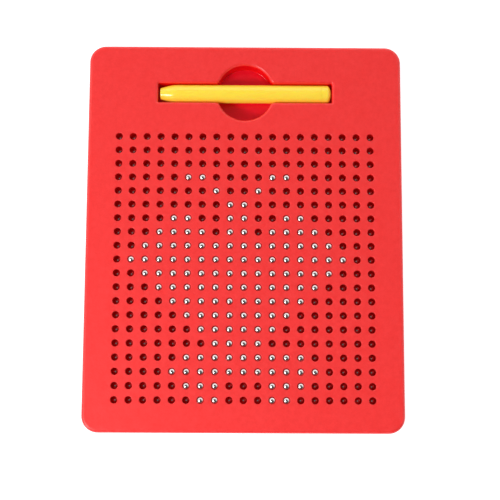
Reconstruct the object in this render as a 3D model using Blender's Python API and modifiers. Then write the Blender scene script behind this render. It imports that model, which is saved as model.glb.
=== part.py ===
"""Magnetic bead drawing board with a stylus, lying on its back.

The origin is the centre of the back, +Z points out of the face and +Y points to the stylus end.
Sizes below are in millimetres and are turned into metres by the constant MM.
"""

import math

import bmesh
import bpy
from mathutils import Matrix, Vector

MM = 0.001

# Board
BOARD_WIDTH = 160.5
BOARD_LENGTH = 197.6
BOARD_DEPTH = 13.0
CORNER_RADIUS = 8.3
FACE_EDGE_RADIUS = 1.8
BACK_EDGE_RADIUS = 1.2
SIDE_WALL = 2.2
FACE_WALL = 1.8
BACK_WALL = 1.6
PARTING_HEIGHT = 4.0
TONGUE_WALL = 1.0
TONGUE_TOP = 5.4
GAP = 0.3
OVERSHOOT = 1.0

# Bead grid
COLUMNS = 19
ROWS = 20
COLUMN_PITCH = 7.125
ROW_PITCH = 7.03
GRID_CENTRE_Y = -15.9
HOLE_ACROSS_FLATS = 3.6
HOLE_WALL = 0.8
HOLE_SIDES = 6
BEAD_RADIUS = 2.0
BEAD_PROUD = 0.25
BEAD_TRAVEL = 4.2
WINDOW_MARGIN = 2.4

# Retaining sheet and bead tray
SHEET_THICKNESS = 0.5
CHANNEL_WIDTH = 2 * BEAD_RADIUS + 2 * GAP
TRAY_MARGIN = 4.4
TRAY_FLOOR = 1.6
TRAY_SKIRT = 1.6

# Stylus and its slot
SLOT_CENTRE_Y = 74.25
SLOT_LENGTH = 89.5
SLOT_WIDTH = 10.1
SLOT_DEPTH = 8.8
RECESS_DIAMETER = 29.0
RECESS_SIDES = 24
POCKET_WALL = 1.4
POCKET_FLOOR = 1.2
STYLUS_RADIUS = 4.6
STYLUS_LENGTH = 88.1
STYLUS_OFFSET = Vector((0.35, 0.14))
STYLUS_SIDES = 16
TIP_RADIUS = 3.05
TIP_ROUND = 0.3
TAPER_LENGTH = 8.3
CAP_LENGTH = 5.0
CAP_DOME = 2.2
PLUG_LENGTH = 5.0
BORE_RADIUS = 3.45
MAGNET_RADIUS = 2.0
MAGNET_LENGTH = 8.0
TIP_WALL = 1.0

# Screws and the bosses they go through
SCREW_X = 73.4
SCREW_YS = (-90.3, -3.6, 89.3)
BOSS_RADIUS = 3.2
BOSS_BORE_RADIUS = 1.5
BOSS_BOTTOM = 5.8
STANDOFF_RADIUS = 4.0
SCREW_HOLE_RADIUS = 1.6
SCREW_POCKET_RADIUS = 3.1
SCREW_POCKET_DEPTH = 2.4
SCREW_HEAD_RADIUS = 2.7
SCREW_HEAD_HEIGHT = 1.7
SCREW_SHANK_RADIUS = 1.2
SCREW_SHANK_LENGTH = 8.2
SCREW_CROSS = (3.2, 0.8, 0.9)

# Heights that follow from the sizes above
FACE_UNDERSIDE = BOARD_DEPTH - HOLE_WALL
CEILING = BOARD_DEPTH - FACE_WALL
SHEET_TOP = CEILING - GAP
SHEET_BOTTOM = SHEET_TOP - SHEET_THICKNESS
TRAY_TOP = SHEET_BOTTOM - GAP
RAISED_Z = BOARD_DEPTH + BEAD_PROUD - BEAD_RADIUS
LOWERED_Z = RAISED_Z - BEAD_TRAVEL
CHANNEL_FLOOR = LOWERED_Z - BEAD_RADIUS - GAP
POCKET_BOTTOM = BOARD_DEPTH - SLOT_DEPTH
STYLUS_Z = POCKET_BOTTOM + GAP + STYLUS_RADIUS


def clear_scene():
    for obj in list(bpy.data.objects):
        bpy.data.objects.remove(obj, do_unlink=True)


def new_collection(name):
    collection = bpy.data.collections.new(name)
    bpy.context.scene.collection.children.link(collection)
    return collection


def new_material(name, colour, roughness, metallic=0.0):
    material = bpy.data.materials.new(name)
    material.use_nodes = True
    shader = material.node_tree.nodes["Principled BSDF"]
    shader.inputs["Base Color"].default_value = (*colour, 1.0)
    shader.inputs["Roughness"].default_value = roughness
    shader.inputs["Metallic"].default_value = metallic
    return material


def mesh_object(name, bm, collection):
    """Turns a bmesh in millimetres into an object in metres."""
    bmesh.ops.scale(bm, vec=Vector((MM, MM, MM)), verts=bm.verts)
    mesh = bpy.data.meshes.new(name)
    bm.to_mesh(mesh)
    bm.free()
    obj = bpy.data.objects.new(name, mesh)
    collection.objects.link(obj)
    return obj


def part(name, bm, material):
    obj = mesh_object(name, bm, PARTS)
    obj.data.materials.append(material)
    return obj


def cutter(name, bm):
    obj = mesh_object(name, bm, CUTTERS)
    obj.hide_render = True
    obj.display_type = "WIRE"
    return obj


def boolean(obj, other, operation):
    modifier = obj.modifiers.new(other.name, "BOOLEAN")
    modifier.object = other
    modifier.operation = operation


def smooth(obj, angle=35.0):
    obj.data.shade_smooth()
    obj.data.set_sharp_from_angle(angle=math.radians(angle))


def add_box(bm, low, high):
    """Adds a box between two corners and returns its vertices."""
    low = Vector(low)
    high = Vector(high)
    size = high - low
    place = Matrix.Translation((low + high) / 2) @ Matrix.Diagonal((*size, 1.0))
    return bmesh.ops.create_cube(bm, size=1.0, matrix=place)["verts"]


def add_cylinder(bm, x, y, bottom, top, radius, sides):
    place = Matrix.Translation((x, y, (bottom + top) / 2))
    bmesh.ops.create_cone(bm, cap_ends=True, segments=sides, radius1=radius, radius2=radius,
                          depth=top - bottom, matrix=place)


def edges_at(bm, height):
    """The edges whose two ends lie at one height."""
    return [e for e in bm.edges if all(abs(v.co.z - height) < 1e-4 for v in e.verts)]


def upright_edges(bm):
    return [e for e in bm.edges if abs(e.verts[0].co.z - e.verts[1].co.z) > 1e-4]


def rounded_slab(bottom, top, inset, round_height=None, round_radius=0.0):
    """A slab with the board's outline set in by inset, with one end's edge rounded if asked."""
    half = Vector((BOARD_WIDTH / 2 - inset, BOARD_LENGTH / 2 - inset))
    bm = bmesh.new()
    add_box(bm, (-half.x, -half.y, bottom), (half.x, half.y, top))
    bmesh.ops.bevel(bm, geom=upright_edges(bm), offset=CORNER_RADIUS - inset, segments=6,
                    profile=0.5, affect="EDGES")
    if round_height is not None:
        bmesh.ops.bevel(bm, geom=edges_at(bm, round_height), offset=round_radius, segments=3,
                        profile=0.5, affect="EDGES")
    return bm


def column_x(column):
    return (column - (COLUMNS + 1) / 2) * COLUMN_PITCH


def row_y(row):
    """Row 1 is the one nearest the stylus."""
    return GRID_CENTRE_Y + ((ROWS + 1) / 2 - row) * ROW_PITCH


def is_raised(column, row):
    """Whether a bead is up at the face, in a drawing of a butterfly above a leaf."""
    wing = abs(column - 9.5)
    leaf = abs(column - 10)
    if row in (4, 5):
        return wing in ((2.5, 3.5) if row == 4 else (1.5,))
    if row == 6:
        return wing == 0.5
    if 7 <= row <= 16:
        notch = row <= 8 and 1.5 <= wing <= 9.5 - row
        return wing <= 7.5 - abs(row - 10) and not notch
    if row >= 17:
        stem = row >= 19 and leaf <= 1
        return leaf <= 5 - abs(row - 18) and not stem
    return False


def columns_in_state(row, raised):
    return [c for c in range(1, COLUMNS + 1) if is_raised(c, row) == raised]


def lead_column(row, raised):
    """The bead nearest the row's middle in that state, which leads the row's others."""
    columns = columns_in_state(row, raised)
    return min(columns, key=lambda c: abs(c - (COLUMNS + 1) / 2)) if columns else None


def grid_half(margin):
    return Vector(((COLUMNS - 1) / 2 * COLUMN_PITCH + margin, (ROWS - 1) / 2 * ROW_PITCH + margin))


def screw_places():
    return [(side * SCREW_X, y) for y in SCREW_YS for side in (-1, 1)]


def pocket(bottom, top, grow):
    """The stylus slot and the round thumb recess as one cutter or one block, grown outwards."""
    slot = bmesh.new()
    half = Vector((SLOT_LENGTH / 2 + grow, SLOT_WIDTH / 2 + grow))
    add_box(slot, (-half.x, SLOT_CENTRE_Y - half.y, bottom), (half.x, SLOT_CENTRE_Y + half.y, top))
    disc = bmesh.new()
    add_cylinder(disc, 0, SLOT_CENTRE_Y, bottom, top, RECESS_DIAMETER / 2 + grow, RECESS_SIDES)
    return slot, disc


def bead_hole_cutter():
    bm = bmesh.new()
    corner_radius = HOLE_ACROSS_FLATS / 2 / math.cos(math.pi / HOLE_SIDES)
    for row in range(1, ROWS + 1):
        for column in range(1, COLUMNS + 1):
            add_cylinder(bm, column_x(column), row_y(row), FACE_UNDERSIDE - OVERSHOOT,
                         BOARD_DEPTH + OVERSHOOT, corner_radius, HOLE_SIDES)
    return cutter("bead_holes", bm)


def screw_cylinders(name, bottom, top, radius, sides=12):
    bm = bmesh.new()
    for x, y in screw_places():
        add_cylinder(bm, x, y, bottom, top, radius, sides)
    return cutter(name, bm)


def window_cutter():
    half = grid_half(WINDOW_MARGIN)
    bm = bmesh.new()
    add_box(bm, (-half.x, GRID_CENTRE_Y - half.y, CEILING - OVERSHOOT),
            (half.x, GRID_CENTRE_Y + half.y, FACE_UNDERSIDE))
    return cutter("bead_window", bm)


def make_front_shell():
    bottom = PARTING_HEIGHT + GAP
    shell = part("front_shell", rounded_slab(bottom, BOARD_DEPTH, 0, BOARD_DEPTH, FACE_EDGE_RADIUS),
                 RED)
    cavity = rounded_slab(bottom - OVERSHOOT, CEILING, SIDE_WALL)
    boolean(shell, cutter("front_cavity", cavity), "DIFFERENCE")
    boolean(shell, window_cutter(), "DIFFERENCE")
    blocks = pocket(POCKET_BOTTOM - POCKET_FLOOR, BOARD_DEPTH - HOLE_WALL, POCKET_WALL)
    for name, bm in zip(("slot_block", "recess_block"), blocks):
        boolean(shell, cutter(name, bm), "UNION")
    cuts = pocket(POCKET_BOTTOM, BOARD_DEPTH + OVERSHOOT, 0)
    for name, bm in zip(("slot_cut", "recess_cut"), cuts):
        boolean(shell, cutter(name, bm), "DIFFERENCE")
    bosses = screw_cylinders("bosses", BOSS_BOTTOM, CEILING + HOLE_WALL, BOSS_RADIUS)
    boolean(shell, bosses, "UNION")
    bores = screw_cylinders("boss_bores", BOSS_BOTTOM - OVERSHOOT, CEILING, BOSS_BORE_RADIUS, 8)
    boolean(shell, bores, "DIFFERENCE")
    boolean(shell, bead_hole_cutter(), "DIFFERENCE")
    smooth(shell)


def make_back_cover():
    cover = part("back_cover", rounded_slab(0, PARTING_HEIGHT, 0, 0, BACK_EDGE_RADIUS), RED)
    tongue_inset = SIDE_WALL + GAP
    tongue = rounded_slab(BACK_WALL, TONGUE_TOP, tongue_inset)
    boolean(cover, cutter("tongue", tongue), "UNION")
    cavity = rounded_slab(BACK_WALL, TONGUE_TOP + OVERSHOOT, tongue_inset + TONGUE_WALL)
    boolean(cover, cutter("back_cavity", cavity), "DIFFERENCE")
    standoffs = screw_cylinders("standoffs", BACK_WALL / 2, BOSS_BOTTOM - GAP, STANDOFF_RADIUS)
    boolean(cover, standoffs, "UNION")
    pockets = screw_cylinders("screw_pockets", -OVERSHOOT, SCREW_POCKET_DEPTH, SCREW_POCKET_RADIUS)
    boolean(cover, pockets, "DIFFERENCE")
    holes = screw_cylinders("screw_holes", -OVERSHOOT, BOSS_BOTTOM + OVERSHOOT, SCREW_HOLE_RADIUS)
    boolean(cover, holes, "DIFFERENCE")
    smooth(cover)


def row_slots(bottom, top):
    """One long slot for each row of beads."""
    half_length = grid_half(CHANNEL_WIDTH / 2).x
    bm = bmesh.new()
    for row in range(1, ROWS + 1):
        y = row_y(row)
        add_box(bm, (-half_length, y - CHANNEL_WIDTH / 2, bottom),
                (half_length, y + CHANNEL_WIDTH / 2, top))
    return bm


def make_bead_tray():
    half = grid_half(TRAY_MARGIN)
    bottom = BACK_WALL + GAP
    bm = bmesh.new()
    add_box(bm, (-half.x, GRID_CENTRE_Y - half.y, bottom), (half.x, GRID_CENTRE_Y + half.y, TRAY_TOP))
    tray = part("bead_tray", bm, TRAY_RED)
    channels = cutter("bead_channels", row_slots(CHANNEL_FLOOR, TRAY_TOP + OVERSHOOT))
    boolean(tray, channels, "DIFFERENCE")
    inner = half - Vector((TRAY_SKIRT, TRAY_SKIRT))
    under = bmesh.new()
    add_box(under, (-inner.x, GRID_CENTRE_Y - inner.y, bottom - OVERSHOOT),
            (inner.x, GRID_CENTRE_Y + inner.y, CHANNEL_FLOOR - TRAY_FLOOR))
    boolean(tray, cutter("tray_underside", under), "DIFFERENCE")


def make_retaining_sheet():
    half = grid_half(TRAY_MARGIN)
    bm = bmesh.new()
    add_box(bm, (-half.x, GRID_CENTRE_Y - half.y, SHEET_BOTTOM),
            (half.x, GRID_CENTRE_Y + half.y, SHEET_TOP))
    sheet = part("retaining_sheet", bm, SHEET)
    slots = cutter("sheet_slots", row_slots(SHEET_BOTTOM - OVERSHOOT, SHEET_TOP + OVERSHOOT))
    boolean(sheet, slots, "DIFFERENCE")


def make_bead(row, raised, mesh):
    """The lead bead of one row in one state, with its origin on its own sliding axis."""
    column = lead_column(row, raised)
    if column is None:
        return
    state = "raised" if raised else "lowered"
    bead = bpy.data.objects.new(f"bead_row_{row:02d}_{state}", mesh)
    height = RAISED_Z if raised else LOWERED_Z
    bead.location = Vector((column_x(column), row_y(row), height)) * MM
    PARTS.objects.link(bead)


def make_beads():
    bm = bmesh.new()
    bmesh.ops.create_icosphere(bm, subdivisions=2, radius=BEAD_RADIUS * MM)
    mesh = bpy.data.meshes.new("bead")
    bm.to_mesh(mesh)
    bm.free()
    mesh.materials.append(STEEL)
    mesh.shade_smooth()
    for row in range(1, ROWS + 1):
        make_bead(row, True, mesh)
        make_bead(row, False, mesh)


def turned(name, profile, material, sides):
    """A turned piece: the profile's points are (radius, height), run down the outer side."""
    mesh = bpy.data.meshes.new(name)
    points = [(radius * MM, 0, height * MM) for radius, height in profile]
    edges = [(i, i + 1) for i in range(len(points) - 1)]
    mesh.from_pydata(points, edges, [])
    obj = bpy.data.objects.new(name, mesh)
    PARTS.objects.link(obj)
    screw = obj.modifiers.new("turn", "SCREW")
    screw.steps = sides
    screw.render_steps = sides
    screw.use_merge_vertices = True
    screw.merge_threshold = 0.00001
    screw.use_smooth_shade = True
    obj.data.materials.append(material)
    return obj


def stylus_axis():
    """An empty at the stylus's flat tip, whose Z runs along the stylus to its cap."""
    axis = bpy.data.objects.new("stylus_axis", None)
    axis.empty_display_size = 0.01
    tip = Vector((STYLUS_OFFSET.x - STYLUS_LENGTH / 2, SLOT_CENTRE_Y + STYLUS_OFFSET.y, STYLUS_Z))
    axis.location = tip * MM
    axis.rotation_euler = (0, math.pi / 2, 0)
    PARTS.objects.link(axis)
    return axis


def taper_profile():
    """The drawing tip's outside, bulging gently from the barrel down to the flat end."""
    points = []
    steps = 4
    for i in range(steps + 1):
        along = i / steps
        radius = STYLUS_RADIUS - (STYLUS_RADIUS - TIP_RADIUS) * along ** 1.6
        points.append((radius, TAPER_LENGTH - (TAPER_LENGTH - TIP_ROUND) * along))
    return points + [(TIP_RADIUS - TIP_ROUND, 0), (0, 0)]


def barrel_profile():
    end = STYLUS_LENGTH - CAP_LENGTH - GAP
    magnet_bore = MAGNET_RADIUS + GAP
    magnet_end = TIP_WALL + MAGNET_LENGTH + 2 * GAP
    widening = BORE_RADIUS - magnet_bore
    inside = [(0, TIP_WALL), (magnet_bore, TIP_WALL), (magnet_bore, magnet_end),
              (BORE_RADIUS, magnet_end + widening), (BORE_RADIUS, end)]
    return inside + [(STYLUS_RADIUS, end)] + taper_profile()


def cap_profile():
    start = STYLUS_LENGTH - CAP_LENGTH
    shoulder = STYLUS_LENGTH - CAP_DOME
    plug_radius = BORE_RADIUS - GAP
    steps = 5
    dome = []
    for i in range(steps + 1):
        turn = math.pi / 2 * i / steps
        dome.append((STYLUS_RADIUS * math.sin(turn), shoulder + CAP_DOME * math.cos(turn)))
    return dome + [(STYLUS_RADIUS, start), (plug_radius, start),
                   (plug_radius, start - PLUG_LENGTH), (0, start - PLUG_LENGTH)]


def make_stylus():
    axis = stylus_axis()
    barrel = turned("stylus_barrel", barrel_profile(), YELLOW, STYLUS_SIDES)
    cap = turned("stylus_cap", cap_profile(), YELLOW, STYLUS_SIDES)
    bottom = TIP_WALL + GAP
    bm = bmesh.new()
    add_cylinder(bm, 0, 0, bottom, bottom + MAGNET_LENGTH, MAGNET_RADIUS, 12)
    magnet = part("stylus_magnet", bm, STEEL)
    smooth(magnet)
    for piece in (barrel, cap, magnet):
        piece.parent = axis


def screw_profile():
    """A pan head below its shank, from the shank's end down to the head's face."""
    under_head = SCREW_POCKET_DEPTH - GAP
    face = under_head - SCREW_HEAD_HEIGHT
    top = under_head + SCREW_SHANK_LENGTH
    point = SCREW_SHANK_RADIUS * 0.6
    rim = SCREW_HEAD_RADIUS
    return [(0, top), (point, top), (SCREW_SHANK_RADIUS, top - 1.0), (SCREW_SHANK_RADIUS, under_head),
            (rim, under_head), (rim, face + 0.6), (rim - 0.5, face + 0.1), (rim - 1.0, face), (0, face)]


def make_screw(number, x, y):
    screw = turned(f"screw_{number}", screw_profile(), SCREW_STEEL, 12)
    screw.location = Vector((x, y, 0)) * MM
    length, width, depth = SCREW_CROSS
    face = SCREW_POCKET_DEPTH - GAP - SCREW_HEAD_HEIGHT
    for name, half_x, half_y in (("slot_a", length / 2, width / 2), ("slot_b", width / 2, length / 2)):
        bm = bmesh.new()
        add_box(bm, (x - half_x, y - half_y, face - OVERSHOOT), (x + half_x, y + half_y, face + depth))
        boolean(screw, cutter(f"screw_{number}_{name}", bm), "DIFFERENCE")


clear_scene()
PARTS = new_collection("bead_drawing_board")
CUTTERS = new_collection("cutters")
RED = new_material("red_plastic", (0.90, 0.05, 0.045), 0.42)
TRAY_RED = new_material("tray_plastic", (0.88, 0.02, 0.02), 0.45)
YELLOW = new_material("yellow_plastic", (0.96, 0.72, 0.08), 0.3)
STEEL = new_material("bead_steel", (0.75, 0.75, 0.76), 0.12, 1.0)
SHEET = new_material("sheet_rubber", (0.80, 0.02, 0.02), 0.8)
SCREW_STEEL = new_material("screw_steel", (0.55, 0.55, 0.56), 0.35, 1.0)

make_front_shell()
make_back_cover()
make_bead_tray()
make_retaining_sheet()
make_beads()
make_stylus()
for index, (screw_x, screw_y) in enumerate(screw_places(), 1):
    make_screw(index, screw_x, screw_y)
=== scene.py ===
"""Looks of the magnetic bead drawing board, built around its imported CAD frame.

Sizes are in millimetres in the part's own frame and are turned into metres by MM:
the origin is the centre of the back, +Z points out of the face, +Y to the stylus end.
"""

import math

import bmesh
import bpy
from mathutils import Matrix, Vector


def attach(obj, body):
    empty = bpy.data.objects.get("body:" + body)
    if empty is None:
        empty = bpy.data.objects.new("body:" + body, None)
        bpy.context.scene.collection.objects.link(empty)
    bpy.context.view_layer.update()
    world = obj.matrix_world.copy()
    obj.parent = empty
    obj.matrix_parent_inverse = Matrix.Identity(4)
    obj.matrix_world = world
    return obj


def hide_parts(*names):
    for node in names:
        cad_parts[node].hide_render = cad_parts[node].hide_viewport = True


MM = 0.001

# Board
BOARD_WIDTH = 160.5
BOARD_LENGTH = 197.6
BOARD_DEPTH = 13.0
CORNER_RADIUS = 8.3
FACE_EDGE_RADIUS = 1.8
BACK_EDGE_RADIUS = 1.2
SEAM_RADIUS = 0.2
SIDE_WALL = 2.2
FACE_WALL = 1.8
BACK_WALL = 1.6
PARTING_HEIGHT = 4.0
TONGUE_WALL = 1.0
TONGUE_TOP = 5.4
GAP = 0.3
CAP_SEAM = 0.05
OVERSHOOT = 1.0
CORNER_SIGNS = ((1, 1), (-1, 1), (-1, -1), (1, -1))

# Bead grid
COLUMNS = 19
ROWS = 20
COLUMN_PITCH = 7.125
ROW_PITCH = 7.03
GRID_CENTRE_Y = -15.9
HOLE_RADIUS = 1.8
HOLE_WALL = 0.8
HOLE_LIP = 0.3
BEAD_RADIUS = 2.0
BEAD_PROUD = 0.25
BEAD_TRAVEL = 4.2
RAISED_BEAD_FINENESS = 4
LOWERED_BEAD_FINENESS = 3
WINDOW_MARGIN = 2.4
SHEET_THICKNESS = 0.5
SHEET_HOLE_RADIUS = 2.2
WELL_RADIUS = 2.3
TRAY_MARGIN = 4.4
TRAY_FLOOR = 1.6
TRAY_SKIRT = 1.6

# Stylus and its slot
SLOT_CENTRE_Y = 74.25
SLOT_LENGTH = 89.5
SLOT_WIDTH = 10.1
SLOT_DEPTH = 8.8
SLOT_LIP = 1.5
SLOT_FLOOR_RADIUS = 0.2
SLOT_CORNER = 0.6
JOIN_RADIUS = 2.4
RECESS_DIAMETER = 29.0
POCKET_WALL = 1.4
POCKET_FLOOR = 1.2
STYLUS_RADIUS = 4.6
STYLUS_LENGTH = 88.1
STYLUS_OFFSET = Vector((0.35, 0.14))
TIP_RADIUS = 3.05
TIP_ROUND = 0.45
TAPER_LENGTH = 8.3
TAPER_CURVE = 1.6
CAP_LENGTH = 5.0
CAP_DOME = 2.2
PLUG_LENGTH = 5.0
BORE_RADIUS = 3.45
MAGNET_RADIUS = 2.0
MAGNET_LENGTH = 8.0
MAGNET_EDGE = 0.2
TIP_WALL = 1.0

# Screws
SCREW_X = 73.4
SCREW_YS = (-90.3, -3.6, 89.3)
BOSS_RADIUS = 3.2
BOSS_BORE_RADIUS = 1.5
BOSS_BOTTOM = 5.8
STANDOFF_RADIUS = 4.0
SCREW_HOLE_RADIUS = 1.6
SCREW_POCKET_RADIUS = 3.1
SCREW_POCKET_DEPTH = 2.4
SCREW_HEAD_RADIUS = 2.7
SCREW_HEAD_HEIGHT = 1.7
# Points on the pan head: share of its radius, and height above its outer face
SCREW_HEAD_DOME = ((0.55, 0.05), (0.8, 0.25), (0.94, 0.6), (1.0, 1.0))
SCREW_SHANK_RADIUS = 1.2
SCREW_SHANK_LENGTH = 8.2
SCREW_POINT_LENGTH = 0.4
SCREW_POINT_SHARE = 0.5
THREAD_PITCH = 1.0
THREAD_START = 0.2
THREAD_SPARE = 1.2
THREAD_ROOT_SHARE = 0.78
# One turn of thread: share of the pitch, and whether it is the crest there
THREAD_TURN = ((0.25, False), (0.6, True), (0.95, False))
CROSS_HALF_LENGTH = 1.6
CROSS_HALF_WIDTH = 0.42
CROSS_NARROWING = 0.45
CROSS_DEPTH = 1.1

# Facets along each rounding, and round each turned shape
CORNER_STEPS = 14
FACE_EDGE_STEPS = 10
BACK_EDGE_STEPS = 8
SEAM_STEPS = 3
SLOT_CORNER_STEPS = 5
JOIN_STEPS = 8
RECESS_STEPS = 20
POCKET_FLOOR_STEPS = 4
POCKET_LIP_STEPS = 6
HOLE_LIP_STEPS = 4
TIP_STEPS = 5
TAPER_STEPS = 14
DOME_STEPS = 14
HOLE_SIDES = 32
WELL_SIDES = 24
STYLUS_SIDES = 72
MAGNET_SIDES = 48
SCREW_SIDES = 40

# Smooth shading breaks at edges sharper than these angles, in degrees
SHARP_ANGLE = 40.0
STYLUS_SHARP_ANGLE = 50.0
SCREW_SHARP_ANGLE = 35.0
FLAT_FACE_WEIGHT = 80

# Heights that follow from the sizes above
FACE_UNDERSIDE = BOARD_DEPTH - HOLE_WALL
CEILING = BOARD_DEPTH - FACE_WALL
SHEET_TOP = CEILING - GAP
SHEET_BOTTOM = SHEET_TOP - SHEET_THICKNESS
TRAY_TOP = SHEET_BOTTOM - GAP
RAISED_Z = BOARD_DEPTH + BEAD_PROUD - BEAD_RADIUS
LOWERED_Z = RAISED_Z - BEAD_TRAVEL
WELL_FLOOR = LOWERED_Z - BEAD_RADIUS - GAP
POCKET_BOTTOM = BOARD_DEPTH - SLOT_DEPTH
STYLUS_Z = POCKET_BOTTOM + GAP + STYLUS_RADIUS

# Camera: turn in degrees, clip distances in metres
CAMERA_PLACE = (0.66, -83.55, 562.4)
CAMERA_TURN = (7.878, -0.274, 0.267)
SENSOR = 36.0
LENS = 79.2
CLIP_NEAR = 0.01
CLIP_FAR = 20.0

# Colours, as the two ends of each material's mottle
GRAINED_RED = ((0.95, 0.044, 0.043), (0.88, 0.03, 0.029))
# The pocket's colours hold painted light: a deeper red for red light bounced onto its walls, and
# on its floor a darker, bluer red for shade and a reflection of the ceiling
POCKET_WALL_PAINTED_BOUNCE_RED = ((0.93, 0.002, 0.003), (0.89, 0.001, 0.002))
POCKET_FLOOR_PAINTED_SHADE_AND_REFLECTION = ((0.86, 0.008, 0.028), (0.82, 0.006, 0.024))
TRAY_RED = ((0.94, 0.002, 0.002), (0.9, 0.001, 0.001))
SHEET_RED = ((0.9, 0.003, 0.003), (0.82, 0.002, 0.002))
STYLUS_YELLOW = ((1.0, 0.72, 0.065), (1.0, 0.705, 0.055))
BEAD_STEEL = ((0.66, 0.62, 0.61), (0.60, 0.56, 0.55))
MAGNET_NICKEL = ((0.72, 0.70, 0.66), (0.66, 0.64, 0.6))
SCREW_ZINC = ((0.6, 0.6, 0.62), (0.5, 0.5, 0.53))
FLOOR_GREY = ((0.5, 0.5, 0.5), (0.52, 0.52, 0.52))

# Roughness. The shell goes from its edges' to its face's over FACE_FADE, in millimetres
# below the face, and its pocket is smoother by POCKET_POLISH. The others vary between two.
EDGE_ROUGH = 0.26
FACE_ROUGH = 0.42
FACE_FADE = (0.2, 0.02)
POCKET_POLISH = 0.12
TRAY_ROUGH = (0.3, 0.45)
SHEET_ROUGH = (0.7, 0.9)
STYLUS_ROUGH = (0.16, 0.24)
BEAD_ROUGH = (0.03, 0.07)
MAGNET_ROUGH = (0.15, 0.3)
SCREW_ROUGH = (0.25, 0.45)
FLOOR_ROUGH = 0.9

# Strength of the mirror-like reflection, where it isn't the usual 0.5
SHELL_SPECULAR = 0.38
FLOOR_SPECULAR = 0.1

# Heights of the finest bumps and of the moulding's flow marks, in metres
FACE_GRAIN = 0.00009
MOULDED_GRAIN = 0.00003
RUBBER_GRAIN = 0.00004
POLISH_GRAIN = 0.00001
FLOW_MARK = 0.00003
FLOW_SCALE = 60.0

# Painted glow on the tray and the stylus, which stands in for light that the plastics pass on
# inside: red through the thin face into the wells, yellow within the stylus. Light also
# spreads inside the plastics by colour, over this distance in metres.
TRAY_PAINTED_GLOW = 0.065
STYLUS_PAINTED_GLOW = 0.08
SCATTER_DISTANCE = 0.0015
RED_SCATTER = (1.0, 0.1, 0.1)
YELLOW_SCATTER = (1.0, 0.3, 0.05)

# Studio: brightness of the surroundings by direction, and where their parts lie.
# Azimuths are in degrees from +X; fades are cosines for the walls, heights for the rest.
HORIZON_LIGHT = 1.0
BRIGHT_LIGHT = 1.45
DIM_LIGHT = 0.9
GAP_LIGHT = 0.08
CEILING_LIGHT = 0.2
BRIGHT_AZIMUTH = 95.0
GAP_AZIMUTH = -65.0
BRIGHT_FADE = (-0.2, 0.6)
GAP_FADE = (0.5, 0.85)
HORIZON_FADE = (0.15, 0.3)
CEILING_FADE = (0.7, 0.85)

# Key light: place and side in metres, power in watts
KEY_PLACE = (-0.43, -0.33, 0.56)
KEY_SIDE = 0.2
KEY_POWER = 3.45

# Floor
FLOOR_HALF = 4000.0
FLOOR_DROP = 0.05
FLOOR_GLOW = 0.85


# ---------------------------------------------------------------- mesh tools


def mesh_object(name, bm):
    """Turns a bmesh in millimetres into a smooth object in metres."""
    bmesh.ops.scale(bm, vec=Vector((MM, MM, MM)), verts=bm.verts)
    mesh = bpy.data.meshes.new(name)
    bm.to_mesh(mesh)
    bm.free()
    mesh.shade_smooth()
    obj = bpy.data.objects.new(name, mesh)
    bpy.context.scene.collection.objects.link(obj)
    return obj


def circle(radius, steps, x=0.0, y=0.0):
    turns = [2 * math.pi * i / steps for i in range(steps)]
    return [(x + radius * math.cos(a), y + radius * math.sin(a)) for a in turns]


def rounded_outline(inset):
    """The board's outline, set in by inset, anticlockwise."""
    radius = CORNER_RADIUS - inset
    cx = BOARD_WIDTH / 2 - CORNER_RADIUS
    cy = BOARD_LENGTH / 2 - CORNER_RADIUS
    points = []
    for corner, (sx, sy) in enumerate(CORNER_SIGNS):
        for i in range(CORNER_STEPS + 1):
            a = math.pi / 2 * (corner + i / CORNER_STEPS)
            points.append((sx * cx + radius * math.cos(a), sy * cy + radius * math.sin(a)))
    return points


def box_outline(half_x, half_y, centre_y=0.0):
    return [(sx * half_x, centre_y + sy * half_y) for sx, sy in CORNER_SIGNS]


def arc(centre, radius, start, end, steps):
    """Points along an arc between two angles in radians."""
    turns = [start + (end - start) * i / steps for i in range(steps + 1)]
    x, y = centre
    return [(x + radius * math.cos(a), y + radius * math.sin(a)) for a in turns]


def pocket_outline(grow):
    """The stylus slot joined with the round thumb recess, grown outwards, anticlockwise."""
    half_x = SLOT_LENGTH / 2
    half_y = SLOT_WIDTH / 2
    radius = RECESS_DIAMETER / 2
    up = half_y + JOIN_RADIUS
    along = math.sqrt((radius + JOIN_RADIUS) ** 2 - up ** 2)
    meet = math.atan2(up, along)
    corner = (half_x - SLOT_CORNER, half_y - SLOT_CORNER)
    side = arc(corner, SLOT_CORNER + grow, 0, math.pi / 2, SLOT_CORNER_STEPS)
    side += arc((along, up), JOIN_RADIUS - grow, -math.pi / 2, meet - math.pi, JOIN_STEPS)
    side += arc((0, 0), radius + grow, meet, math.pi / 2, RECESS_STEPS)[1:]
    top = side + [(-x, y) for x, y in side[-2::-1]]
    points = top + [(-x, -y) for x, y in top]
    return [(x, SLOT_CENTRE_Y + y) for x, y in points]


def loft(bm, layers):
    """A closed solid through rings of equal count, (outline, height) from the bottom up."""
    rings = [[bm.verts.new((x, y, z)) for x, y in outline] for outline, z in layers]
    count = len(rings[0])
    for low, high in zip(rings, rings[1:]):
        for i in range(count):
            j = (i + 1) % count
            bm.faces.new((low[i], low[j], high[j], high[i]))
    bm.faces.new(rings[0][::-1])
    bm.faces.new(rings[-1])


def turned(bm, profile, steps, x=0.0, y=0.0):
    """A closed solid of revolution about Z.

    The profile's (radius, height) points start and end on the axis.
    """
    start = bm.verts.new((x, y, profile[0][1]))
    end = bm.verts.new((x, y, profile[-1][1]))
    rings = []
    for radius, z in profile[1:-1]:
        rings.append([bm.verts.new((px, py, z)) for px, py in circle(radius, steps, x, y)])
    for i in range(steps):
        j = (i + 1) % steps
        bm.faces.new((start, rings[0][j], rings[0][i]))
        for low, high in zip(rings, rings[1:]):
            bm.faces.new((low[i], low[j], high[j], high[i]))
        bm.faces.new((end, rings[-1][i], rings[-1][j]))


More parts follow.
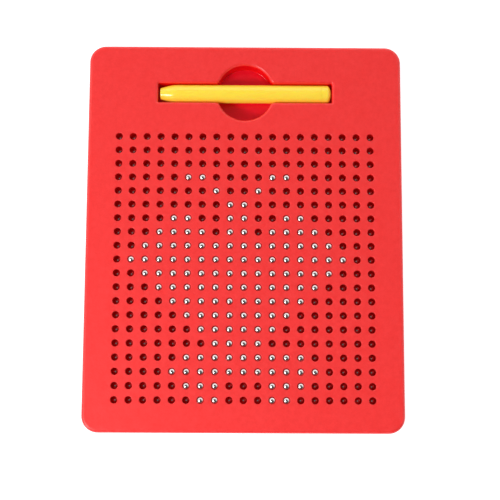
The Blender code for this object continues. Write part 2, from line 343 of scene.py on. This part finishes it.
def quarter(steps):
    """(sine, cosine) along a quarter turn."""
    turns = [math.pi / 2 * i / steps for i in range(steps + 1)]
    return [(math.sin(a), math.cos(a)) for a in turns]


def solid(name, bm):
    bmesh.ops.recalc_face_normals(bm, faces=bm.faces)
    return mesh_object(name, bm)


def combine(obj, other, operation):
    """Cuts or joins another object into obj and removes it."""
    modifier = obj.modifiers.new("combine", "BOOLEAN")
    modifier.object = other
    modifier.operation = operation
    modifier.solver = "MANIFOLD"
    apply_modifiers(obj)
    bpy.data.objects.remove(other)


def apply_modifiers(obj):
    graph = bpy.context.evaluated_depsgraph_get()
    mesh = bpy.data.meshes.new_from_object(obj.evaluated_get(graph))
    obj.modifiers.clear()
    obj.data = mesh


def even_shading(obj, angle=SHARP_ANGLE):
    """Smooth shading that keeps large flat faces flat."""
    obj.data.shade_smooth()
    obj.data.set_sharp_from_angle(angle=math.radians(angle))
    modifier = obj.modifiers.new("even", "WEIGHTED_NORMAL")
    modifier.keep_sharp = True
    modifier.weight = FLAT_FACE_WEIGHT
    apply_modifiers(obj)


# ---------------------------------------------------------------- the bead grid


def column_x(column):
    return (column - (COLUMNS + 1) / 2) * COLUMN_PITCH


def row_y(row):
    """Row 1 is the one nearest the stylus."""
    return GRID_CENTRE_Y + ((ROWS + 1) / 2 - row) * ROW_PITCH


def is_raised(column, row):
    """Whether a bead is up at the face, in a drawing of a butterfly above a leaf."""
    wing = abs(column - 9.5)
    leaf = abs(column - 10)
    if row in (4, 5):
        return wing in ((2.5, 3.5) if row == 4 else (1.5,))
    if row == 6:
        return wing == 0.5
    if 7 <= row <= 16:
        notch = row <= 8 and 1.5 <= wing <= 9.5 - row
        return wing <= 7.5 - abs(row - 10) and not notch
    if row >= 17:
        stem = row >= 19 and leaf <= 1
        return leaf <= 5 - abs(row - 18) and not stem
    return False


def columns_in_state(row, raised):
    return [c for c in range(1, COLUMNS + 1) if is_raised(c, row) == raised]


def grid_places():
    return [(column_x(c), row_y(r)) for r in range(1, ROWS + 1) for c in range(1, COLUMNS + 1)]


def grid_half(margin):
    return ((COLUMNS - 1) / 2 * COLUMN_PITCH + margin, (ROWS - 1) / 2 * ROW_PITCH + margin)


def grid_block(bm, margin, bottom, top):
    half_x, half_y = grid_half(margin)
    outline = box_outline(half_x, half_y, GRID_CENTRE_Y)
    loft(bm, [(outline, bottom), (outline, top)])


# ---------------------------------------------------------------- red shell and cover


def face_fillet(top, radius, steps):
    """Layers that round a slab's upper edge."""
    return [(rounded_outline(radius * (1 - cosine)), top - radius + radius * sine)
            for sine, cosine in quarter(steps)]


def foot_fillet(bottom, radius, steps):
    """Layers that round a slab's lower edge, from the bottom up."""
    return [(rounded_outline(radius * (1 - sine)), bottom + radius * (1 - cosine))
            for sine, cosine in quarter(steps)]


def pocket_cut():
    """The stylus pocket as a cutter, with a rounded floor edge and a rounded lip."""
    floor_edge = [(pocket_outline(SLOT_FLOOR_RADIUS * (sine - 1)),
                   POCKET_BOTTOM + SLOT_FLOOR_RADIUS * (1 - cosine))
                  for sine, cosine in quarter(POCKET_FLOOR_STEPS)]
    lip = [(pocket_outline(SLOT_LIP * (1 - cosine)), BOARD_DEPTH - SLOT_LIP + SLOT_LIP * sine)
           for sine, cosine in quarter(POCKET_LIP_STEPS)]
    above = [(pocket_outline(SLOT_LIP), BOARD_DEPTH + OVERSHOOT)]
    bm = bmesh.new()
    loft(bm, floor_edge + lip + above)
    return solid("pocket_cut", bm)


def hole_profile():
    """A bead hole's cutter, which opens out in a rounded lip at the face."""
    bottom = FACE_UNDERSIDE - OVERSHOOT
    top = BOARD_DEPTH + OVERSHOOT
    lip = [(HOLE_RADIUS + HOLE_LIP * (1 - cosine), BOARD_DEPTH - HOLE_LIP + HOLE_LIP * sine)
           for sine, cosine in quarter(HOLE_LIP_STEPS)]
    flare = HOLE_RADIUS + HOLE_LIP
    return [(0, bottom), (HOLE_RADIUS, bottom)] + lip + [(flare, top), (0, top)]


def grid_of(name, profile, steps):
    """One turned solid at every place of the grid."""
    bm = bmesh.new()
    for x, y in grid_places():
        turned(bm, profile, steps, x, y)
    return solid(name, bm)


def screw_places():
    return [(side * SCREW_X, y) for y in SCREW_YS for side in (-1, 1)]


def at_screws(name, profile):
    bm = bmesh.new()
    for x, y in screw_places():
        turned(bm, profile, HOLE_SIDES, x, y)
    return solid(name, bm)


def rod(radius, bottom, top):
    return [(0, bottom), (radius, bottom), (radius, top), (0, top)]


def lofted(name, layers):
    bm = bmesh.new()
    loft(bm, layers)
    return solid(name, bm)


def make_front_shell():
    bottom = PARTING_HEIGHT + GAP
    seam = foot_fillet(bottom, SEAM_RADIUS, SEAM_STEPS)
    edge = face_fillet(BOARD_DEPTH, FACE_EDGE_RADIUS, FACE_EDGE_STEPS)
    shell = lofted("face_shell", seam + edge)
    inside = rounded_outline(SIDE_WALL)
    cavity = lofted("cavity", [(inside, bottom - OVERSHOOT), (inside, CEILING)])
    combine(shell, cavity, "DIFFERENCE")
    window = bmesh.new()
    grid_block(window, WINDOW_MARGIN, CEILING - OVERSHOOT, FACE_UNDERSIDE)
    combine(shell, solid("window", window), "DIFFERENCE")
    wall = pocket_outline(POCKET_WALL)
    block = [(wall, POCKET_BOTTOM - POCKET_FLOOR), (wall, BOARD_DEPTH - HOLE_WALL)]
    combine(shell, lofted("pocket_block", block), "UNION")
    combine(shell, pocket_cut(), "DIFFERENCE")
    bosses = at_screws("bosses", rod(BOSS_RADIUS, BOSS_BOTTOM, CEILING + HOLE_WALL))
    combine(shell, bosses, "UNION")
    bores = at_screws("bores", rod(BOSS_BORE_RADIUS, BOSS_BOTTOM - OVERSHOOT, CEILING))
    combine(shell, bores, "DIFFERENCE")
    combine(shell, grid_of("bead_holes", hole_profile(), HOLE_SIDES), "DIFFERENCE")
    even_shading(shell)
    return shell


def make_back_cover():
    edge = foot_fillet(0, BACK_EDGE_RADIUS, BACK_EDGE_STEPS)
    seam = face_fillet(PARTING_HEIGHT, SEAM_RADIUS, SEAM_STEPS)
    cover = lofted("rear_cover", edge + seam)
    tongue = rounded_outline(SIDE_WALL + GAP)
    combine(cover, lofted("tongue", [(tongue, BACK_WALL), (tongue, TONGUE_TOP)]), "UNION")
    inside = rounded_outline(SIDE_WALL + GAP + TONGUE_WALL)
    cavity = lofted("cover_cavity", [(inside, BACK_WALL), (inside, TONGUE_TOP + OVERSHOOT)])
    combine(cover, cavity, "DIFFERENCE")
    standoffs = at_screws("standoffs", rod(STANDOFF_RADIUS, BACK_WALL / 2, BOSS_BOTTOM - GAP))
    combine(cover, standoffs, "UNION")
    flare = SCREW_POCKET_RADIUS + GAP
    pocket = [(0, -OVERSHOOT), (flare, -OVERSHOOT), (flare, 0), (SCREW_POCKET_RADIUS, GAP),
              (SCREW_POCKET_RADIUS, SCREW_POCKET_DEPTH), (0, SCREW_POCKET_DEPTH)]
    combine(cover, at_screws("screw_pockets", pocket), "DIFFERENCE")
    holes = at_screws("screw_holes", rod(SCREW_HOLE_RADIUS, OVERSHOOT, BOSS_BOTTOM + OVERSHOOT))
    combine(cover, holes, "DIFFERENCE")
    even_shading(cover)
    return cover


# ---------------------------------------------------------------- tray, sheet and beads


def make_tray():
    bottom = BACK_WALL + GAP
    bm = bmesh.new()
    grid_block(bm, TRAY_MARGIN, bottom, TRAY_TOP)
    tray = solid("well_tray", bm)
    cone = 2 * GAP
    rim = GAP
    well = [(0, WELL_FLOOR), (WELL_RADIUS - cone, WELL_FLOOR), (WELL_RADIUS, WELL_FLOOR + cone),
            (WELL_RADIUS, TRAY_TOP - rim), (WELL_RADIUS + rim, TRAY_TOP),
            (WELL_RADIUS + rim, TRAY_TOP + OVERSHOOT), (0, TRAY_TOP + OVERSHOOT)]
    combine(tray, grid_of("wells", well, WELL_SIDES), "DIFFERENCE")
    under = bmesh.new()
    grid_block(under, TRAY_MARGIN - TRAY_SKIRT, bottom - OVERSHOOT, WELL_FLOOR - TRAY_FLOOR)
    combine(tray, solid("underside", under), "DIFFERENCE")
    even_shading(tray)
    return tray


def make_sheet():
    bm = bmesh.new()
    grid_block(bm, TRAY_MARGIN, SHEET_BOTTOM, SHEET_TOP)
    sheet = solid("grip_sheet", bm)
    hole = rod(SHEET_HOLE_RADIUS, SHEET_BOTTOM - OVERSHOOT, SHEET_TOP + OVERSHOOT)
    combine(sheet, grid_of("sheet_holes", hole, WELL_SIDES), "DIFFERENCE")
    even_shading(sheet)
    return sheet


def make_bead_row(row, raised):
    """All of one row's beads in one state, as one piece."""
    height = RAISED_Z if raised else LOWERED_Z
    fineness = RAISED_BEAD_FINENESS if raised else LOWERED_BEAD_FINENESS
    bm = bmesh.new()
    for column in columns_in_state(row, raised):
        place = Matrix.Translation((column_x(column), row_y(row), height))
        bmesh.ops.create_icosphere(bm, subdivisions=fineness, radius=BEAD_RADIUS, matrix=place)
    state = "raised" if raised else "lowered"
    return mesh_object(f"steel_beads_{row:02d}_{state}", bm)


# ---------------------------------------------------------------- stylus and screws


def lay_on_axis(bm):
    """Lays a piece made upright, tip at the origin, in the slot with its tip at the left."""
    tip_x = STYLUS_OFFSET.x - STYLUS_LENGTH / 2
    tip = Vector((tip_x, SLOT_CENTRE_Y + STYLUS_OFFSET.y, STYLUS_Z))
    turn = Matrix.Rotation(math.pi / 2, 4, "Y")
    bmesh.ops.transform(bm, matrix=Matrix.Translation(tip) @ turn, verts=bm.verts)


def taper_profile():
    """The drawing end's outside from the flat tip to the barrel, bulging gently."""
    rounding = [(TIP_RADIUS - TIP_ROUND * (1 - sine), TIP_ROUND * (1 - cosine))
                for sine, cosine in quarter(TIP_STEPS)]
    taper = []
    for i in range(1, TAPER_STEPS + 1):
        left = 1 - i / TAPER_STEPS
        radius = STYLUS_RADIUS - (STYLUS_RADIUS - TIP_RADIUS) * left ** TAPER_CURVE
        taper.append((radius, TIP_ROUND + (TAPER_LENGTH - TIP_ROUND) * i / TAPER_STEPS))
    return rounding + taper


def make_barrel():
    end = STYLUS_LENGTH - CAP_LENGTH - CAP_SEAM
    bore = MAGNET_RADIUS + GAP
    magnet_end = TIP_WALL + MAGNET_LENGTH + 2 * GAP
    rim = CAP_SEAM
    outside = [(STYLUS_RADIUS, end - rim), (STYLUS_RADIUS - rim, end)]
    inside = [(BORE_RADIUS, end), (BORE_RADIUS, magnet_end + BORE_RADIUS - bore),
              (bore, magnet_end), (bore, TIP_WALL), (0, TIP_WALL)]
    bm = bmesh.new()
    turned(bm, [(0, 0)] + taper_profile() + outside + inside, STYLUS_SIDES)
    lay_on_axis(bm)
    barrel = solid("pen_barrel", bm)
    even_shading(barrel, STYLUS_SHARP_ANGLE)
    return barrel


def make_cap():
    start = STYLUS_LENGTH - CAP_LENGTH
    shoulder = STYLUS_LENGTH - CAP_DOME
    plug = BORE_RADIUS - GAP
    rim = CAP_SEAM
    dome = [(STYLUS_RADIUS * cosine, shoulder + CAP_DOME * sine)
            for sine, cosine in quarter(DOME_STEPS)]
    base = [(0, start - PLUG_LENGTH), (plug, start - PLUG_LENGTH), (plug, start),
            (STYLUS_RADIUS - rim, start), (STYLUS_RADIUS, start + rim)]
    bm = bmesh.new()
    turned(bm, base + dome[:-1] + [(0, STYLUS_LENGTH)], STYLUS_SIDES)
    lay_on_axis(bm)
    cap = solid("pen_cap", bm)
    even_shading(cap, STYLUS_SHARP_ANGLE)
    return cap


def make_magnet():
    bottom = TIP_WALL + GAP
    top = bottom + MAGNET_LENGTH
    edge = MAGNET_EDGE
    wide = MAGNET_RADIUS
    profile = [(0, bottom), (wide - edge, bottom), (wide, bottom + edge), (wide, top - edge),
               (wide - edge, top), (0, top)]
    bm = bmesh.new()
    turned(bm, profile, MAGNET_SIDES)
    lay_on_axis(bm)
    magnet = solid("pen_magnet", bm)
    even_shading(magnet)
    return magnet


def screw_profile():
    """A pan head below a threaded shank, from the head's face up to the shank's end."""
    under_head = SCREW_POCKET_DEPTH - GAP
    face = under_head - SCREW_HEAD_HEIGHT
    rim = SCREW_HEAD_RADIUS
    head = [(0, face)] + [(rim * share, face + rise) for share, rise in SCREW_HEAD_DOME]
    head += [(rim, under_head), (SCREW_SHANK_RADIUS, under_head)]
    root = SCREW_SHANK_RADIUS * THREAD_ROOT_SHARE
    thread = []
    for i in range(int((SCREW_SHANK_LENGTH - THREAD_SPARE) / THREAD_PITCH)):
        z = under_head + THREAD_START + i * THREAD_PITCH
        thread += [(SCREW_SHANK_RADIUS if crest else root, z + share * THREAD_PITCH)
                   for share, crest in THREAD_TURN]
    top = under_head + SCREW_SHANK_LENGTH
    point = SCREW_SHANK_RADIUS * SCREW_POINT_SHARE
    return head + thread + [(point, top - SCREW_POINT_LENGTH), (0, top)]


def cross_cutter(x, y):
    """A cross recess that narrows inwards, cut into the head from below."""
    face = SCREW_POCKET_DEPTH - GAP - SCREW_HEAD_HEIGHT
    long, narrow = CROSS_HALF_LENGTH, CROSS_HALF_WIDTH
    for half_x, half_y in ((long, narrow), (narrow, long)):
        outline = box_outline(half_x, half_y)
        low = [(x + px, y + py) for px, py in outline]
        high = [(x + px * CROSS_NARROWING, y + py * CROSS_NARROWING) for px, py in outline]
        arm = bmesh.new()
        loft(arm, [(low, face - OVERSHOOT), (low, face), (high, face + CROSS_DEPTH)])
        yield solid("cross_arm", arm)


def make_screw(number, x, y):
    bm = bmesh.new()
    turned(bm, screw_profile(), SCREW_SIDES, x, y)
    screw = solid(f"pan_screw_{number}", bm)
    for arm in cross_cutter(x, y):
        combine(screw, arm, "DIFFERENCE")
    even_shading(screw, SCREW_SHARP_ANGLE)
    return screw


# ---------------------------------------------------------------- materials


class Nodes:
    """Short calls for building a material's node tree."""

    def __init__(self, name):
        self.material = bpy.data.materials.new(name)
        self.material.use_nodes = True
        self.tree = self.material.node_tree
        self.shader = self.tree.nodes["Principled BSDF"]
        self.place = self.tree.nodes.new("ShaderNodeTexCoord").outputs["Object"]

    def link(self, output, socket):
        self.tree.links.new(output, socket)

    def noise(self, scale, detail=3.0, roughness=0.5):
        node = self.tree.nodes.new("ShaderNodeTexNoise")
        node.inputs["Scale"].default_value = scale
        node.inputs["Detail"].default_value = detail
        node.inputs["Roughness"].default_value = roughness
        self.link(self.place, node.inputs["Vector"])
        return node.outputs["Fac"]

    def cells(self, scale):
        node = self.tree.nodes.new("ShaderNodeTexVoronoi")
        node.inputs["Scale"].default_value = scale
        self.link(self.place, node.inputs["Vector"])
        return node.outputs["Distance"]

    def spread(self, value, low, high, start=0.3, end=0.7):
        """Maps a pattern's middle range onto low to high."""
        node = self.tree.nodes.new("ShaderNodeMapRange")
        node.inputs["From Min"].default_value = start
        node.inputs["From Max"].default_value = end
        node.inputs["To Min"].default_value = low
        node.inputs["To Max"].default_value = high
        self.link(value, node.inputs["Value"])
        return node.outputs["Result"]

    def blend(self, factor, first, second):
        node = self.tree.nodes.new("ShaderNodeMix")
        node.data_type = "RGBA"
        self.link(factor, node.inputs[0])
        node.inputs[6].default_value = (*first, 1.0)
        node.inputs[7].default_value = (*second, 1.0)
        return node.outputs[2]

    def choose(self, factor, first, second):
        """Mixes two colour outputs."""
        node = self.tree.nodes.new("ShaderNodeMix")
        node.data_type = "RGBA"
        self.link(factor, node.inputs[0])
        self.link(first, node.inputs[6])
        self.link(second, node.inputs[7])
        return node.outputs[2]

    def above(self, low, high):
        """A factor that rises from 0 to 1 between two heights in millimetres."""
        split = self.tree.nodes.new("ShaderNodeSeparateXYZ")
        self.link(self.place, split.inputs[0])
        return self.spread(split.outputs["Z"], 0.0, 1.0, low * MM, high * MM)

    def within(self, half_x, half_y):
        """A factor that is 1 inside a rectangle about the origin, and fades out past it."""
        fade = 1.0
        size = self.tree.nodes.new("ShaderNodeVectorMath")
        size.operation = "ABSOLUTE"
        self.link(self.place, size.inputs[0])
        split = self.tree.nodes.new("ShaderNodeSeparateXYZ")
        self.link(size.outputs["Vector"], split.inputs[0])
        across = self.spread(split.outputs["X"], 1.0, 0.0, half_x * MM, (half_x + fade) * MM)
        along = self.spread(split.outputs["Y"], 1.0, 0.0, half_y * MM, (half_y + fade) * MM)
        return self.calculate("MULTIPLY", across, along)

    def calculate(self, operation, first, second):
        node = self.tree.nodes.new("ShaderNodeMath")
        node.operation = operation
        self.link(first, node.inputs[0])
        self.link(second, node.inputs[1])
        return node.outputs[0]

    def bump(self, height, strength, distance, under=None):
        node = self.tree.nodes.new("ShaderNodeBump")
        node.inputs["Strength"].default_value = strength
        node.inputs["Distance"].default_value = distance
        self.link(height, node.inputs["Height"])
        if under is not None:
            self.link(under, node.inputs["Normal"])
        return node.outputs["Normal"]

    def colour(self, output):
        self.link(output, self.shader.inputs["Base Color"])

    def roughness(self, output):
        self.link(output, self.shader.inputs["Roughness"])

    def normal(self, output):
        self.link(output, self.shader.inputs["Normal"])

    def mottle(self, scale, detail=3.0, roughness=0.5):
        """A factor from 0 to 1 that varies over the surface."""
        return self.spread(self.noise(scale, detail, roughness), 0.0, 1.0)

    def with_flow_marks(self, grain):
        """Adds the faint broad unevenness of a moulding to its grain."""
        self.normal(self.bump(self.noise(FLOW_SCALE, 2.0), 0.3, FLOW_MARK, grain))

    def glow(self, colour, strength):
        self.shader.inputs["Emission Color"].default_value = (*colour, 1.0)
        self.shader.inputs["Emission Strength"].default_value = strength

    def scatter(self, weight, radius):
        """Lets light spread inside, by colour."""
        self.shader.inputs["Subsurface Weight"].default_value = weight
        self.shader.inputs["Subsurface Radius"].default_value = radius
        self.shader.inputs["Subsurface Scale"].default_value = SCATTER_DISTANCE


def moulded_plastic(name, colours, rough, glow):
    """Moulded plastic with a fine spark-eroded grain, faint flow marks and a painted glow in its
    own colour.
    """
    nodes = Nodes(name)
    nodes.colour(nodes.blend(nodes.mottle(900.0, 4.0), *colours))
    nodes.roughness(nodes.spread(nodes.noise(260.0), *rough))
    nodes.with_flow_marks(nodes.bump(nodes.noise(2600.0, 2.0), 0.5, MOULDED_GRAIN))
    # Painted glow in the first colour, standing in for light that the plastic passes on inside
    nodes.glow(colours[0], glow)
    return nodes.material


def pocket_mask(nodes):
    """1 on the surfaces of the stylus pocket, 0 outside and on the back cover."""
    below_lip = nodes.above(BOARD_DEPTH - SLOT_LIP / 2, BOARD_DEPTH - SLOT_LIP)
    over_cover = nodes.above(PARTING_HEIGHT, PARTING_HEIGHT + GAP / 3)
    inner = nodes.within(SCREW_X - BOSS_RADIUS, SCREW_YS[2] + BOSS_RADIUS)
    return nodes.calculate("MULTIPLY", nodes.calculate("MULTIPLY", below_lip, over_cover), inner)


def shell_plastic(name, grained, wall, floor):
    """Red plastic, grained outside and polished in the pocket, whose walls carry painted red
    bounce light and whose floor carries painted shade and a painted reflection of the ceiling.
    """
    nodes = Nodes(name)
    in_pocket = pocket_mask(nodes)
    wall_foot = (POCKET_BOTTOM + SLOT_FLOOR_RADIUS / 4, POCKET_BOTTOM + SLOT_FLOOR_RADIUS)
    mottle = nodes.mottle(300.0)
    # Painted light in the pocket: the floor darker and bluer for shade and a ceiling reflection,
    # the walls a deeper red for bounced red light
    inside = nodes.choose(nodes.above(*wall_foot), nodes.blend(mottle, *floor),
                          nodes.blend(mottle, *wall))
    outside = nodes.blend(nodes.mottle(420.0, 4.0, 0.72), *grained)
    nodes.colour(nodes.choose(in_pocket, outside, inside))
    flat_face = nodes.above(*(BOARD_DEPTH - below for below in FACE_FADE))
    rough = nodes.spread(flat_face, EDGE_ROUGH, FACE_ROUGH, 0.0, 1.0)
    polish = nodes.spread(in_pocket, 0.0, POCKET_POLISH, 0.0, 1.0)
    nodes.roughness(nodes.calculate("SUBTRACT", rough, polish))
    nodes.with_flow_marks(nodes.bump(nodes.noise(950.0, 3.0, 0.6), 0.9, FACE_GRAIN))
    nodes.shader.inputs["Specular IOR Level"].default_value = SHELL_SPECULAR
    nodes.scatter(0.3, RED_SCATTER)
    return nodes.material


def gloss_plastic(name, colours, rough, glow):
    """Polished plastic with a faint ripple, light handling marks and a painted glow in its own
    colour.
    """
    nodes = Nodes(name)
    nodes.colour(nodes.blend(nodes.mottle(120.0), *colours))
    nodes.roughness(nodes.spread(nodes.noise(420.0, 5.0, 0.6), *rough))
    nodes.normal(nodes.bump(nodes.noise(150.0, 2.0), 0.25, POLISH_GRAIN))
    nodes.scatter(0.4, YELLOW_SCATTER)
    # Painted glow in the first colour, standing in for light that the plastic passes on inside
    nodes.glow(colours[0], glow)
    return nodes.material


def polished_metal(name, colours, rough, marks=900.0):
    """Polished or plated metal with a faint patina."""
    nodes = Nodes(name)
    nodes.shader.inputs["Metallic"].default_value = 1.0
    nodes.colour(nodes.blend(nodes.mottle(700.0), *colours))
    nodes.roughness(nodes.spread(nodes.noise(marks, 4.0, 0.6), *rough))
    nodes.normal(nodes.bump(nodes.noise(marks * 2), 0.15, POLISH_GRAIN))
    return nodes.material


def rubber(name, colours, rough):
    """Dull rubber with a pebbled skin."""
    nodes = Nodes(name)
    nodes.colour(nodes.blend(nodes.mottle(500.0, 4.0), *colours))
    nodes.roughness(nodes.spread(nodes.noise(900.0), *rough))
    nodes.normal(nodes.bump(nodes.cells(2200.0), 0.5, RUBBER_GRAIN))
    return nodes.material


def set_material(obj, material):
    obj.data.materials.clear()
    obj.data.materials.append(material)


# ---------------------------------------------------------------- studio


def floor_material():
    nodes = Nodes("floor_paper")
    nodes.colour(nodes.blend(nodes.noise(8.0, 2.0), *FLOOR_GREY))
    nodes.shader.inputs["Roughness"].default_value = FLOOR_ROUGH
    nodes.shader.inputs["Specular IOR Level"].default_value = FLOOR_SPECULAR
    nodes.glow((1.0, 1.0, 1.0), FLOOR_GLOW)
    return nodes.material


def make_floor():
    bm = bmesh.new()
    bmesh.ops.create_grid(bm, x_segments=4, y_segments=4, size=FLOOR_HALF)
    floor = mesh_object("floor", bm)
    floor.location.z = -FLOOR_DROP * MM
    set_material(floor, floor_material())


def smooth_step(tree, value, fade):
    """A factor that rises smoothly from 0 to 1 between the fade's two values."""
    node = tree.nodes.new("ShaderNodeMapRange")
    node.interpolation_type = "SMOOTHSTEP"
    node.inputs["From Min"].default_value, node.inputs["From Max"].default_value = fade
    tree.links.new(value, node.inputs["Value"])
    return node.outputs["Result"]


def vector_math(tree, operation, first, second=None):
    node = tree.nodes.new("ShaderNodeVectorMath")
    node.operation = operation
    tree.links.new(first, node.inputs[0])
    if second is not None:
        node.inputs[1].default_value = second
    return node


def mix_value(tree, factor, first, second):
    """Mixes two values by the factor; each is a number or an output."""
    node = tree.nodes.new("ShaderNodeMix")
    tree.links.new(factor, node.inputs[0])
    for value, socket in ((first, node.inputs[2]), (second, node.inputs[3])):
        if isinstance(value, float):
            socket.default_value = value
        else:
            tree.links.new(value, socket)
    return node.outputs[0]


def make_world():
    """Walls that are brighter on the far side and dark on the near right, under a dim ceiling."""
    world = bpy.data.worlds.new("studio")
    world.use_nodes = True
    tree = world.node_tree
    direction = tree.nodes.new("ShaderNodeTexCoord").outputs["Generated"]
    split = tree.nodes.new("ShaderNodeSeparateXYZ")
    tree.links.new(direction, split.inputs[0])
    height = split.outputs["Z"]
    level = vector_math(tree, "MULTIPLY", direction, (1.0, 1.0, 0.0)).outputs["Vector"]
    level = vector_math(tree, "NORMALIZE", level).outputs["Vector"]

    def towards(azimuth, fade):
        turn = math.radians(azimuth)
        facing = vector_math(tree, "DOT_PRODUCT", level, (math.cos(turn), math.sin(turn), 0.0))
        return smooth_step(tree, facing.outputs["Value"], fade)

    walls = mix_value(tree, towards(BRIGHT_AZIMUTH, BRIGHT_FADE), DIM_LIGHT, BRIGHT_LIGHT)
    walls = mix_value(tree, towards(GAP_AZIMUTH, GAP_FADE), walls, GAP_LIGHT)
    walls = mix_value(tree, smooth_step(tree, height, HORIZON_FADE), HORIZON_LIGHT, walls)
    light = mix_value(tree, smooth_step(tree, height, CEILING_FADE), walls, CEILING_LIGHT)
    background = tree.nodes["Background"]
    background.inputs["Color"].default_value = (1.0, 1.0, 1.0, 1.0)
    tree.links.new(light, background.inputs["Strength"])
    bpy.context.scene.world = world


def make_key_light():
    """A square softbox on the near left, aimed at the middle of the back."""
    light = bpy.data.lights.new("key_softbox", "AREA")
    light.shape = "SQUARE"
    light.size = KEY_SIDE
    light.energy = KEY_POWER
    obj = bpy.data.objects.new("key_softbox", light)
    bpy.context.scene.collection.objects.link(obj)
    obj.location = KEY_PLACE
    obj.rotation_euler = (-Vector(KEY_PLACE)).to_track_quat("-Z", "Y").to_euler()


def make_camera():
    data = bpy.data.cameras.new("camera")
    data.sensor_width = SENSOR
    data.lens = LENS
    data.clip_start = CLIP_NEAR
    data.clip_end = CLIP_FAR
    camera = bpy.data.objects.new("camera", data)
    camera.location = Vector(CAMERA_PLACE) * MM
    camera.rotation_euler = [math.radians(a) for a in CAMERA_TURN]
    bpy.context.scene.collection.objects.link(camera)
    bpy.context.scene.camera = camera


# ---------------------------------------------------------------- assembly


def stand_for(obj, body, material, slot, *nodes):
    """Gives a piece its material and body, and hides the CAD nodes it stands for."""
    set_material(obj, material)
    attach(obj, body)
    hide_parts(*nodes)


def build_board(red, tray_red, sheet_red, zinc):
    stand_for(make_front_shell(), "board", red, "red_plastic", "front_shell")
    stand_for(make_back_cover(), "board", red, "red_plastic", "back_cover")
    stand_for(make_tray(), "board", tray_red, "tray_plastic", "bead_tray")
    stand_for(make_sheet(), "board", sheet_red, "sheet_rubber", "retaining_sheet")
    for number, (x, y) in enumerate(screw_places(), 1):
        screw = make_screw(number, x, y)
        stand_for(screw, "board", zinc, "screw_steel", f"screw_{number}")


def build_beads(steel):
    for row in range(1, ROWS + 1):
        for raised in (True, False):
            if not columns_in_state(row, raised):
                continue
            body = f"row_{row:02d}_" + ("raised" if raised else "lowered")
            beads = make_bead_row(row, raised)
            stand_for(beads, body, steel, "bead_steel", f"bead_{body}")


def build_stylus(yellow, nickel):
    stand_for(make_barrel(), "stylus", yellow, "yellow_plastic", "stylus_barrel")
    stand_for(make_cap(), "stylus", yellow, "yellow_plastic", "stylus_cap")
    stand_for(make_magnet(), "stylus", nickel, "magnet", "stylus_magnet")


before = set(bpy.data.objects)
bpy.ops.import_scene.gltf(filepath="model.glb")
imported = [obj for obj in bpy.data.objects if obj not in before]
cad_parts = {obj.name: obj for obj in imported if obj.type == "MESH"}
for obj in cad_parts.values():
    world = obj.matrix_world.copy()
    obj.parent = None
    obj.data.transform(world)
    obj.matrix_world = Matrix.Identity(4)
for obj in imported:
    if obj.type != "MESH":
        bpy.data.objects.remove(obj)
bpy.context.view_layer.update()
bpy.context.scene.view_settings.view_transform = "Standard"

red_plastic = shell_plastic("red_plastic_look", GRAINED_RED, POCKET_WALL_PAINTED_BOUNCE_RED, POCKET_FLOOR_PAINTED_SHADE_AND_REFLECTION)
tray_plastic = moulded_plastic("tray_plastic_look", TRAY_RED, TRAY_ROUGH, TRAY_PAINTED_GLOW)
sheet_rubber = rubber("sheet_rubber_look", SHEET_RED, SHEET_ROUGH)
yellow_plastic = gloss_plastic("yellow_plastic_look", STYLUS_YELLOW, STYLUS_ROUGH, STYLUS_PAINTED_GLOW)
bead_steel = polished_metal("bead_steel_look", BEAD_STEEL, BEAD_ROUGH)
magnet_nickel = polished_metal("magnet_look", MAGNET_NICKEL, MAGNET_ROUGH)
screw_zinc = polished_metal("screw_look", SCREW_ZINC, SCREW_ROUGH, marks=500.0)

build_board(red_plastic, tray_plastic, sheet_rubber, screw_zinc)
build_beads(bead_steel)
build_stylus(yellow_plastic, magnet_nickel)
make_floor()
make_world()
make_key_light()
make_camera()
